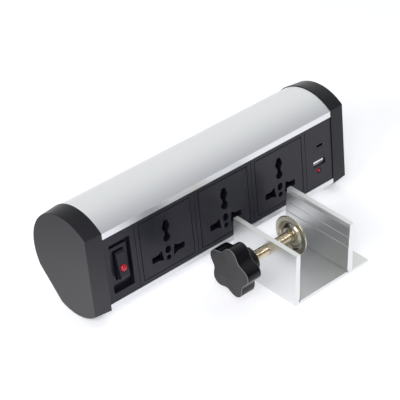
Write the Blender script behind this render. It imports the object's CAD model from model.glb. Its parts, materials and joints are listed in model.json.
"""Looks of the desk power strip: materials, rounded edges and detailed pieces on the CAD frame.

Metres, in the row frame: X along the strip, Y to its rear, Z up, and the floor at Z = 0.
"""

import json
import math

import bmesh
import bpy
from mathutils import Matrix, Vector


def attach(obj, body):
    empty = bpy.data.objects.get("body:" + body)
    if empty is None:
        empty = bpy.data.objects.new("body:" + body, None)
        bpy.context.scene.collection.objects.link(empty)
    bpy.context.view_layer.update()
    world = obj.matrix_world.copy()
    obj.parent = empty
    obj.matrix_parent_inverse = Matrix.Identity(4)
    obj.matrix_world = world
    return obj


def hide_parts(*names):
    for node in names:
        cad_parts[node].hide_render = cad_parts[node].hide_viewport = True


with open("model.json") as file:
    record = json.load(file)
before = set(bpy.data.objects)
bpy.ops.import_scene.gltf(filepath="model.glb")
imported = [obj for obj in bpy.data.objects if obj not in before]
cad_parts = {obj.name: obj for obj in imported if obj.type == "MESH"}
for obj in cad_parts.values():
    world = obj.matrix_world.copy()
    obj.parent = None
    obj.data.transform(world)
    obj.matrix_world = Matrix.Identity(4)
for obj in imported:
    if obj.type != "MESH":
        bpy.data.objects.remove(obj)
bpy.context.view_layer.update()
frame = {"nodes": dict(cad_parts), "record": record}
nodes = frame["nodes"]

MM = 0.001

# ---------------------------------------------------------------- sizes, as in the CAD source

PANEL_W = 224 * MM
END_W = 28 * MM
LEAN = math.radians(5.5)
ROCKER_TILT = math.radians(11)
ROCKER_RISE = 6.6 * MM
LENS_DROP = 2.8 * MM

# The strip's own frame: X from the left end of the panel, Y back from its front, Z up from its bottom
STRIP = Matrix.Translation((-PANEL_W / 2, 4.4256 * MM, 15.52 * MM)) @ Matrix.Rotation(-LEAN, 4, "X")
USB_MODULE = STRIP @ Matrix.Translation((PANEL_W - END_W, 0, 0))
USB_C_AT = (15.2 * MM, 34.8 * MM)
USB_LED_AT = (13.4 * MM, 13.6 * MM)

# The rocker's frame, at its pivot
ROCKER = STRIP @ Matrix.Translation((END_W / 2, 5.5 * MM, 26.4 * MM)) @ Matrix.Rotation(-ROCKER_TILT, 4, "X")

# Turns a shape lathed about X so that it points out of the front
OUTWARDS = Matrix.Rotation(math.radians(-90), 4, "Z")

# The clamp screw's frame: X along the screw from the plain jaw's outer face
SCREW = Matrix.Translation((-6.8 * MM, -42.4744 * MM, 34 * MM))
SCREW_R = 4 * MM
THREAD_START = -31.5 * MM
THREAD_END = 23.1 * MM
THREAD_PITCH = 1.25 * MM
PAD_X = 26.5 * MM
KNOB_FACE = -36.5 * MM
KNOB_R = 20 * MM
KNOB_T = 13 * MM
LOBES = 5
FIRST_LOBE = math.radians(24)
SCALLOP_DEPTH = 4.6 * MM

# ---------------------------------------------------------------- node helpers


class Shader:
    """Builds one node material on a Principled surface."""

    def __init__(self, name):
        self.material = bpy.data.materials.new(name)
        self.material.use_nodes = True
        self.tree = self.material.node_tree
        self.tree.nodes.clear()
        self.output = self.add("ShaderNodeOutputMaterial")
        self.surface = self.add("ShaderNodeBsdfPrincipled")
        self.link(self.surface.outputs["BSDF"], self.output.inputs["Surface"])
        self.place = self.add("ShaderNodeTexCoord").outputs["Object"]

    def add(self, kind, **settings):
        node = self.tree.nodes.new(kind)
        for key, value in settings.items():
            setattr(node, key, value)
        return node

    def link(self, source, target):
        self.tree.links.new(source, target)

    def noise(self, scale, stretch=(1, 1, 1), detail=3, roughness=0.5):
        """Noise with about `scale` features per metre, finer along axes with a larger stretch."""
        mapping = self.add("ShaderNodeMapping")
        mapping.inputs["Scale"].default_value = stretch
        self.link(self.place, mapping.inputs["Vector"])
        texture = self.add("ShaderNodeTexNoise")
        texture.inputs["Scale"].default_value = scale
        texture.inputs["Detail"].default_value = detail
        texture.inputs["Roughness"].default_value = roughness
        self.link(mapping.outputs["Vector"], texture.inputs["Vector"])
        return texture.outputs["Fac"]

    def axis(self, vector, name):
        split = self.add("ShaderNodeSeparateXYZ")
        self.link(vector, split.inputs["Vector"])
        return split.outputs[name]

    def remap(self, value, low, high, start=0.3, end=0.7):
        """Spreads a value from start..end to low..high."""
        node = self.add("ShaderNodeMapRange")
        node.inputs["From Min"].default_value = start
        node.inputs["From Max"].default_value = end
        node.inputs["To Min"].default_value = low
        node.inputs["To Max"].default_value = high
        self.link(value, node.inputs["Value"])
        return node.outputs["Result"]

    def mix_colour(self, share, first, second):
        """Mixes two colours, each given as numbers or as a socket."""
        node = self.add("ShaderNodeMix", data_type="RGBA")
        self.link(share, node.inputs["Factor"])
        for value, name in ((first, "A"), (second, "B")):
            socket = next(s for s in node.inputs if s.name == name and s.type == "RGBA")
            if isinstance(value, bpy.types.NodeSocket):
                self.link(value, socket)
            else:
                socket.default_value = (*value, 1)
        return next(s for s in node.outputs if s.type == "RGBA")

    def edge_wear(self, radius):
        """1 on worn edges and 0 on flat faces."""
        bevel = self.add("ShaderNodeBevel", samples=4)
        bevel.inputs["Radius"].default_value = radius
        geometry = self.add("ShaderNodeNewGeometry")
        dot = self.add("ShaderNodeVectorMath", operation="DOT_PRODUCT")
        self.link(bevel.outputs["Normal"], dot.inputs[0])
        self.link(geometry.outputs["Normal"], dot.inputs[1])
        return self.remap(dot.outputs["Value"], 1, 0, 0.75, 0.99)

    def bump(self, height, strength, distance):
        node = self.add("ShaderNodeBump")
        node.inputs["Strength"].default_value = strength
        node.inputs["Distance"].default_value = distance
        self.link(height, node.inputs["Height"])
        self.link(node.outputs["Normal"], self.surface.inputs["Normal"])

    def set(self, **values):
        for key, value in values.items():
            socket = self.surface.inputs[key.replace("_", " ")]
            if isinstance(value, bpy.types.NodeSocket):
                self.link(value, socket)
            elif isinstance(value, tuple):
                socket.default_value = (*value, 1)
            else:
                socket.default_value = value
        return self


def plastic(name, colour, roughness, shine=0.36, low_colour=None):
    """Moulded plastic: a fine spark-eroded grain, cloudy roughness and slightly polished edges.

    With a low_colour, its tone drifts to that one at the low front of the strip's left end.
    """
    s = Shader(name)
    cloud = s.noise(35, detail=2)
    worn = s.edge_wear(0.0003)
    mottled = s.mix_colour(s.remap(cloud, 0, 1), colour, tuple(c * 1.3 for c in colour))
    if low_colour:
        # Grows towards the left, the front and the floor
        lowness = s.add("ShaderNodeVectorMath", operation="DOT_PRODUCT")
        lowness.inputs[1].default_value = (-0.3, -0.8, -1)
        s.link(s.place, lowness.inputs[0])
        share = s.remap(lowness.outputs["Value"], 0, 1, -0.072, 0.008)
        mottled = s.mix_colour(share, mottled, low_colour)
    s.set(
        Base_Color=s.mix_colour(worn, mottled, tuple(c + 0.012 for c in colour)),
        Roughness=s.remap(cloud, roughness - 0.03, roughness + 0.03),
        Specular_IOR_Level=shine,
    )
    s.bump(s.noise(9000, detail=2), 0.3, 0.00001)
    return s.material


def anodised(name, colour, roughness, along):
    """Satin anodised extrusion: faint drawing lines along its length and a fine etched grain."""
    s = Shader(name)
    lines = s.noise(40, along, detail=4, roughness=0.6)
    etched = s.noise(1800, detail=4, roughness=0.7)
    worn = s.edge_wear(0.0002)
    darker, lined, brighter = (tuple(c * share for c in colour) for share in (0.94, 0.985, 1.03))
    grained = s.mix_colour(s.remap(etched, 0, 1), darker, brighter)
    toned = s.mix_colour(s.remap(lines, 0, 0.5), grained, lined)
    s.set(
        Metallic=1.0,
        Base_Color=s.mix_colour(s.remap(worn, 0, 0.5, 0, 1), toned, (0.93, 0.94, 0.96)),
        Roughness=s.remap(lines, roughness - 0.015, roughness + 0.015),
    )
    s.bump(etched, 0.25, 0.00001)
    return s.material


def plated(name, colour, roughness, along=(1, 1, 1)):
    """Plated or drawn metal with soft clouding and fine scratches."""
    s = Shader(name)
    cloud = s.noise(120, detail=4)
    scratch = s.noise(900, along, detail=6, roughness=0.75)
    darker = tuple(c * 0.85 for c in colour)
    s.set(
        Metallic=1.0,
        Base_Color=s.mix_colour(s.remap(cloud, 0, 1), darker, colour),
        Roughness=s.remap(scratch, roughness - 0.04, roughness + 0.06),
    )
    s.bump(scratch, 0.08, 0.00001)
    return s.material


def gloss(name, colour, roughness=0.12, glow=None):
    """Smooth plastic, lacquer or a coloured lens."""
    s = Shader(name)
    cloud = s.noise(200, detail=2)
    s.set(
        Base_Color=s.mix_colour(s.remap(cloud, 0, 1), colour, tuple(c * 0.85 for c in colour)),
        Roughness=s.remap(cloud, roughness, roughness + 0.06),
    )
    if glow:
        s.set(Emission_Color=colour, Emission_Strength=glow)
    s.bump(s.noise(1500, detail=2), 0.05, 0.00001)
    return s.material


def knob_finish():
    """Glossy black sides, paler rubbed rims and a matt grey-black end face with a coarse grain."""
    s = Shader("knob_plastic")
    geometry = s.add("ShaderNodeNewGeometry")
    facing = s.axis(geometry.outputs["Normal"], "X")
    end_face = s.remap(facing, 1, 0, -0.99, -0.9)
    slant = s.add("ShaderNodeMath", operation="ABSOLUTE")
    s.link(facing, slant.inputs[0])
    rim = s.add("ShaderNodeMath", operation="MULTIPLY")
    s.link(s.remap(slant.outputs[0], 0, 1, 0.25, 0.5), rim.inputs[0])
    s.link(s.remap(slant.outputs[0], 1, 0, 0.75, 0.95), rim.inputs[1])
    grain = s.noise(2500, detail=3)
    cloud = s.noise(60, detail=3)
    matt = s.mix_colour(s.remap(cloud, 0, 1), (0.028, 0.028, 0.029), (0.048, 0.048, 0.049))
    body = s.mix_colour(end_face, (0.003, 0.003, 0.005), matt)
    s.set(
        Base_Color=s.mix_colour(rim.outputs[0], body, (0.22, 0.22, 0.23)),
        Roughness=s.remap(end_face, 0.14, 0.5, 0, 1),
        Specular_IOR_Level=0.25,
    )
    s.bump(grain, 0.15, 0.00002)
    return s.material


def circuit():
    """Green solder mask with lighter tracks."""
    s = Shader("circuit_board")
    tracks = s.add("ShaderNodeTexVoronoi", feature="DISTANCE_TO_EDGE")
    tracks.inputs["Scale"].default_value = 260
    s.link(s.place, tracks.inputs["Vector"])
    share = s.remap(tracks.outputs["Distance"], 1, 0, 0.02, 0.06)
    s.set(Base_Color=s.mix_colour(share, (0.01, 0.09, 0.03), (0.05, 0.22, 0.08)), Roughness=0.35)
    s.bump(share, 0.2, 0.00003)
    return s.material


MATERIALS = {
    "anodised_aluminium": anodised("anodised_aluminium", (0.79, 0.80, 0.82), 0.33, along=(1, 25, 25)),
    "clamp_aluminium": anodised("clamp_aluminium", (0.79, 0.80, 0.80), 0.36, along=(25, 1, 25)),
    "black_plastic": plastic("black_plastic", (0.008, 0.008, 0.015), 0.36),
    "cap_plastic": plastic("cap_plastic", (0.006, 0.006, 0.009), 0.32, 0.20, (0.050, 0.050, 0.054)),
    "red_lens": gloss("red_lens", (0.50, 0.005, 0.02), 0.06, glow=0.06),
    "pale_plastic": gloss("pale_plastic", (0.90, 0.91, 0.94), 0.25, glow=0.25),
    "nickel_steel": plated("nickel_steel", (0.72, 0.71, 0.69), 0.25),
    "dark_steel": plated("dark_steel", (0.26, 0.26, 0.28), 0.3),
    "circuit_board": circuit(),
    "yellow_tape": gloss("yellow_tape", (0.65, 0.45, 0.05), 0.3),
    "capacitor_sleeve": gloss("capacitor_sleeve", (0.01, 0.01, 0.04), 0.25),
    "brown_insulation": gloss("brown_insulation", (0.12, 0.04, 0.015), 0.35),
    "blue_insulation": gloss("blue_insulation", (0.01, 0.06, 0.35), 0.35),
    "green_insulation": gloss("green_insulation", (0.10, 0.32, 0.03), 0.35),
    "inlet_plastic": plastic("inlet_plastic", (0.012, 0.012, 0.013), 0.42),
    "zinc_screw": plated("zinc_screw", (0.78, 0.68, 0.50), 0.2, along=(1, 8, 8)),
    "brass": plated("brass", (0.72, 0.53, 0.22), 0.25),
    "knob_plastic": knob_finish(),
    "pad_nickel": plated("pad_nickel", (0.64, 0.60, 0.48), 0.25),
}

# ---------------------------------------------------------------- mesh helpers


def new_piece(name, mesh, slot, body, place):
    """Adds a mesh as a piece that rides on a body, in a material slot's finish."""
    mesh.name = name
    mesh.transform(place)
    piece = bpy.data.objects.new(name, mesh)
    bpy.context.scene.collection.objects.link(piece)
    mesh.materials.append(MATERIALS[slot])
    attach(piece, body)
    return piece


def shade_smooth(mesh):
    for polygon in mesh.polygons:
        polygon.use_smooth = True


def rounded(piece, width, segments=2, angle=28):
    """Rounds a piece's sharp edges and keeps its flat faces flat."""
    shade_smooth(piece.data)
    weld = piece.modifiers.new("weld", "WELD")
    weld.merge_threshold = 0.000002
    flat = piece.modifiers.new("flat", "DECIMATE")
    flat.decimate_type = "DISSOLVE"
    flat.angle_limit = math.radians(0.3)
    bevel = piece.modifiers.new("bevel", "BEVEL")
    bevel.width = width
    bevel.segments = segments
    bevel.limit_method = "ANGLE"
    bevel.angle_limit = math.radians(angle)
    bevel.use_clamp_overlap = True
    normals = piece.modifiers.new("normals", "WEIGHTED_NORMAL")
    normals.weight = 100
    normals.keep_sharp = False
    return piece


def bridge(bm, rings):
    """Joins each ring of vertices to the next."""
    count = len(rings[0])
    for low, high in zip(rings, rings[1:]):
        for k in range(count):
            n = (k + 1) % count
            bm.faces.new((low[k], high[k], high[n], low[n]))


def ring_x(bm, x, radius_at, steps):
    """A ring of vertices about the X axis, of the radius given for each angle from +Y."""
    ring = []
    for k in range(steps):
        turn = 2 * math.pi * k / steps
        radius = radius_at(turn)
        ring.append(bm.verts.new((x, radius * math.cos(turn), radius * math.sin(turn))))
    return ring


def lathe_x(outline, steps=96, bored=False):
    """A mesh turned about the X axis from points of (x, radius); a bored one closes on itself."""
    bm = bmesh.new()
    rings = [ring_x(bm, x, lambda turn, r=radius: r, steps) for x, radius in outline]
    if bored:
        rings.append(rings[0])
        bridge(bm, rings)
    else:
        bridge(bm, rings)
        bm.faces.new(rings[0])
        bm.faces.new(list(reversed(rings[-1])))
    return finish_mesh(bm)


def smooth_through(points, steps):
    """Points on a Catmull-Rom curve through a closed list of points."""
    curve = []
    count = len(points)
    for i in range(count):
        p0, p1, p2, p3 = (Vector(points[(i + k - 1) % count]) for k in range(4))
        for k in range(steps):
            t = k / steps
            a = 2 * p1 + (p2 - p0) * t
            b = (2 * p0 - 5 * p1 + 4 * p2 - p3) * t ** 2
            c = (3 * p1 - p0 - 3 * p2 + p3) * t ** 3
            curve.append((a + b + c) / 2)
    return curve


def finish_mesh(bm):
    bmesh.ops.recalc_face_normals(bm, faces=bm.faces)
    mesh = bpy.data.meshes.new("shape")
    bm.to_mesh(mesh)
    bm.free()
    shade_smooth(mesh)
    return mesh


# ---------------------------------------------------------------- CAD nodes: finish and edges

slots = {row["node"]: row["material_slot"] for row in frame["record"]["subparts"]}

# Widths of the rounded edges in millimetres, where they differ from the usual one
USUAL_EDGE = 0.15
EDGES = {
    "housing": 0.2,
    "end_cap_left": 0.5,
    "end_cap_right": 0.5,
    "switch_rocker": 0.4,
    "clamp_bracket": 0.06,
    "usb_a_tongue": 0.3,
    "usb_c_tongue": 0.1,
    "usb_c_shell": 0.08,
    "usb_a_shell": 0.08,
    "inlet_pins": 0.25,
}
for name, node in nodes.items():
    imported_normals = node.data.attributes.get("custom_normal")
    if imported_normals:
        node.data.attributes.remove(imported_normals)
    node.data.materials.clear()
    node.data.materials.append(MATERIALS[slots[name]])
    rounded(node, EDGES.get(name, USUAL_EDGE) * MM)

# ---------------------------------------------------------------- lenses and the USB-C lip


def dome(base_x, rise, radius, steps=10):
    """Points of (x, radius) from a dome's foot to just off its top."""
    angles = [math.radians(88) * k / steps for k in range(steps + 1)]
    return [(base_x + rise * math.sin(a), radius * math.cos(a)) for a in angles]


def stadium_lip(width, height, thickness, depth):
    """A rounded lip along a stadium in the XZ plane, `thickness` wide and `depth` deep along Y."""
    around = 56
    across = 10
    reach = (width - height) / 2
    bm = bmesh.new()
    rings = []
    for k in range(around):
        turn = 2 * math.pi * (k + 0.5) / around
        outward = Vector((math.cos(turn), 0, math.sin(turn)))
        middle = outward * height / 2 + Vector((math.copysign(reach, outward.x), 0, 0))
        ring = []
        for j in range(across):
            a = 2 * math.pi * j / across
            offset = outward * math.cos(a) * thickness / 2 + Vector((0, math.sin(a) * depth / 2, 0))
            ring.append(bm.verts.new(middle + offset))
        rings.append(ring)
    bridge(bm, rings + rings[:1])
    return finish_mesh(bm)


lens_foot = [(ROCKER_RISE - 1.8 * MM, 2.3 * MM), (ROCKER_RISE - 1.7 * MM, 2.55 * MM)]
lens_outline = lens_foot + dome(ROCKER_RISE + 0.1 * MM, 1.1 * MM, 2.55 * MM)
lens = new_piece(
    "rocker_lens_dome",
    lathe_x(lens_outline, 64),
    "red_lens",
    "rocker",
    ROCKER @ Matrix.Translation((0, 0, -LENS_DROP)) @ OUTWARDS,
)
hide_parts("rocker_lens")

led_foot = [(-13, 1.6), (-12.8, 1.9), (-1.5, 1.9), (-1.3, 1.75), (-1.4, 1.3), (-1.2, 1.2)]
led_outline = [(x * MM, r * MM) for x, r in led_foot] + dome(-0.6 * MM, 0.8 * MM, 1.2 * MM)
led = new_piece(
    "usb_led_dome",
    lathe_x(led_outline, 48),
    "red_lens",
    "strip",
    USB_MODULE @ Matrix.Translation((USB_LED_AT[0], 0, USB_LED_AT[1])) @ OUTWARDS,
)
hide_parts("usb_led")

new_piece(
    "usb_c_lip",
    stadium_lip(8.8 * MM, 3 * MM, 0.34 * MM, 0.6 * MM),
    "dark_steel",
    "strip",
    USB_MODULE @ Matrix.Translation((USB_C_AT[0], 0.55 * MM, USB_C_AT[1])),
)

# ---------------------------------------------------------------- clamp screw: a real thread


def threaded_rod(start, end, radius, pitch):
    """A rod along X with a helical 60-degree thread, tapering in at both ends."""
    around = 40
    per_turn = 8
    depth = 0.54 * pitch
    rows = round((end - start) / pitch * per_turn)
    bm = bmesh.new()
    rings = []
    for i in range(rows + 1):
        x = start + (end - start) * i / rows
        fade = min(1.0, (x - start) / pitch, (end - x) / pitch)

        def thread_radius(turn):
            phase = (x / pitch - turn / (2 * math.pi)) % 1.0
            crest = min(1.0, max(0.0, (abs(2 * phase - 1) - 0.12) / 0.7))
            return radius - depth * (1 - crest * fade)

        rings.append(ring_x(bm, x, thread_radius, around))
    bridge(bm, rings)
    bm.faces.new(rings[0])
    bm.faces.new(list(reversed(rings[-1])))
    return finish_mesh(bm)


screw = new_piece(
    "clamp_screw_thread",
    threaded_rod(THREAD_START, THREAD_END, SCREW_R, THREAD_PITCH),
    "zinc_screw",
    "screw",
    SCREW,
)
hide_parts("clamp_screw")
rivet = [(22.6, 2.5), (27.3, 2.5), (27.3, 3.3), (27.5, 3.6), (27.7, 3.5), (27.9, 3.0), (27.9, 0.4)]
new_piece(
    "clamp_screw_rivet",
    lathe_x([(x * MM, r * MM) for x, r in rivet]),
    "zinc_screw",
    "screw",
    SCREW,
)

# ---------------------------------------------------------------- clamp pad: a pressed dish

# (distance past the pad's plane, radius): the side towards the screw, then the back
dish = [
    (-2.4, 2.6), (-2.4, 4.4), (-2.36, 5.4), (-2.15, 6.4), (-1.75, 7.4), (-1.1, 8.4), (-0.4, 9.2),
    (-0.15, 9.9), (-0.35, 10.6), (-1.0, 11.3), (-1.6, 11.7), (-1.78, 12.2), (-1.8, 13.6), (-1.78, 15.0),
    (-1.6, 15.4), (-1.2, 15.5), (-0.8, 15.4), (-0.62, 15.0), (-0.6, 13.4), (-0.5, 12.2), (0.2, 11.4),
    (0.75, 10.6), (0.8, 9.0), (0.6, 6.6), (0.5, 4.6), (0.5, 2.6),
]
pad = new_piece(
    "clamp_pad_dish",
    lathe_x(
        [(PAD_X + x, r) for x, r in smooth_through([(x * MM, r * MM) for x, r in dish], 4)],
        steps=128,
        bored=True,
    ),
    "pad_nickel",
    "pad",
    SCREW,
)
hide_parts("clamp_pad")

# ---------------------------------------------------------------- star knob: rounded lobes


def knob_radius(turn):
    """Radius of the star at an angle from +Y: five soft lobes with shallow finger grips between."""
    hollow = (1 - math.cos(LOBES * (turn - FIRST_LOBE))) / 2
    return KNOB_R - SCALLOP_DEPTH * hollow ** 1.15


def build_knob(steps=240):
    """Rings from the middle of the end face, over the rounded rim and the back, to the hub's end."""
    bm = bmesh.new()
    rim = 0.7 * MM
    back = KNOB_FACE + KNOB_T
    rings = []
    arc = [math.radians(15 * k) for k in range(7)]
    front_rim = [(KNOB_FACE + rim * (1 - math.sin(a)), rim * (1 - math.cos(a))) for a in reversed(arc)]
    back_rim = [(back - rim * (1 - math.sin(a)), rim * (1 - math.cos(a))) for a in arc]
    for share in (0.03, 0.3, 0.6, 0.85):
        rings.append(ring_x(bm, KNOB_FACE, lambda turn, s=share: s * (knob_radius(turn) - rim), steps))
    for x, inset in front_rim + back_rim:
        rings.append(ring_x(bm, x, lambda turn, i=inset: knob_radius(turn) - i, steps))
    hub = [(0, 10.9), (0.15, 10.6), (0.5, 10.4), (6, 9.75), (8.2, 9.5), (8.7, 9.3), (9, 8.9), (9, 6.2)]
    for x, radius in hub:
        rings.append(ring_x(bm, back + x * MM, lambda turn, r=radius: r * MM, steps))
    bridge(bm, rings)
    bm.faces.new(rings[0])
    return finish_mesh(bm)


knob = new_piece("clamp_knob_star", build_knob(), "knob_plastic", "screw", SCREW)
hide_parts("clamp_knob")

# ---------------------------------------------------------------- floor, light and camera

OBJECT_MIDDLE = Vector((0, 0, 30 * MM))
CAMERA_AT = (-0.63959, -0.68863, 0.72464)
CAMERA_AIM = Vector((0.53902, 0.60942, -0.58143))
CAMERA_ROLL = math.radians(-1.414)
CAMERA_LENS = 143.9


def area_light(name, place, size, power):
    """A rectangular light aimed at the middle of the object."""
    data = bpy.data.lights.new(name, "AREA")
    data.shape = "RECTANGLE"
    data.size, data.size_y = size
    data.energy = power
    light = bpy.data.objects.new(name, data)
    light.location = place
    light.rotation_mode = "QUATERNION"
    light.rotation_quaternion = (OBJECT_MIDDLE - Vector(place)).to_track_quat("-Z", "Y")
    bpy.context.scene.collection.objects.link(light)


def build_floor():
    bm = bmesh.new()
    bmesh.ops.create_grid(bm, x_segments=1, y_segments=1, size=6)
    floor = bpy.data.objects.new("floor", finish_mesh(bm))
    bpy.context.scene.collection.objects.link(floor)
    s = Shader("floor_paper")
    paper = s.mix_colour(s.remap(s.noise(8), 0, 1), (0.90, 0.90, 0.92), (0.92, 0.92, 0.94))
    s.set(Base_Color=paper, Roughness=0.9, Emission_Color=paper, Emission_Strength=0.40)
    floor.data.materials.append(s.material)


def build_world():
    """A pale studio, brightest to the right and behind the object, and cooler where it is dimmer."""
    world = bpy.data.worlds.new("studio")
    bpy.context.scene.world = world
    world.use_nodes = True
    tree = world.node_tree
    tree.nodes.clear()
    coords = tree.nodes.new("ShaderNodeTexCoord")
    toward = tree.nodes.new("ShaderNodeVectorMath")
    toward.operation = "DOT_PRODUCT"
    toward.inputs[1].default_value = (0.7, 0.62, 0.35)
    ramp = tree.nodes.new("ShaderNodeMapRange")
    for key, value in (("From Min", 0), ("From Max", 0.95), ("To Min", 0.26), ("To Max", 0.98)):
        ramp.inputs[key].default_value = value
    tint = tree.nodes.new("ShaderNodeValToRGB")
    stops = ((0.3, (0.93, 0.95, 1.03, 1)), (0.95, (0.98, 0.99, 0.97, 1)))
    for element, (position, colour) in zip(tint.color_ramp.elements, stops):
        element.position = position
        element.color = colour
    background = tree.nodes.new("ShaderNodeBackground")
    output = tree.nodes.new("ShaderNodeOutputWorld")
    tree.links.new(coords.outputs["Generated"], toward.inputs[0])
    tree.links.new(toward.outputs["Value"], ramp.inputs["Value"])
    tree.links.new(ramp.outputs["Result"], background.inputs["Strength"])
    tree.links.new(ramp.outputs["Result"], tint.inputs["Fac"])
    tree.links.new(tint.outputs["Color"], background.inputs["Color"])
    tree.links.new(background.outputs["Background"], output.inputs["Surface"])


build_floor()
build_world()
area_light("key", place=(-0.72, -0.72, 0.95), size=(0.5, 0.35), power=6.5)
area_light("rim", place=(-1.1, -0.15, 0.7), size=(0.6, 0.5), power=5)

camera_data = bpy.data.cameras.new("camera")
camera_data.lens = CAMERA_LENS
camera_data.clip_end = 20
camera = bpy.data.objects.new("camera", camera_data)
bpy.context.scene.collection.objects.link(camera)
camera.location = CAMERA_AT
camera.rotation_mode = "QUATERNION"
roll = Matrix.Rotation(CAMERA_ROLL, 3, "Z").to_quaternion()
camera.rotation_quaternion = CAMERA_AIM.to_track_quat("-Z", "Y") @ roll
bpy.context.scene.camera = camera
bpy.context.scene.view_settings.view_transform = "Standard"
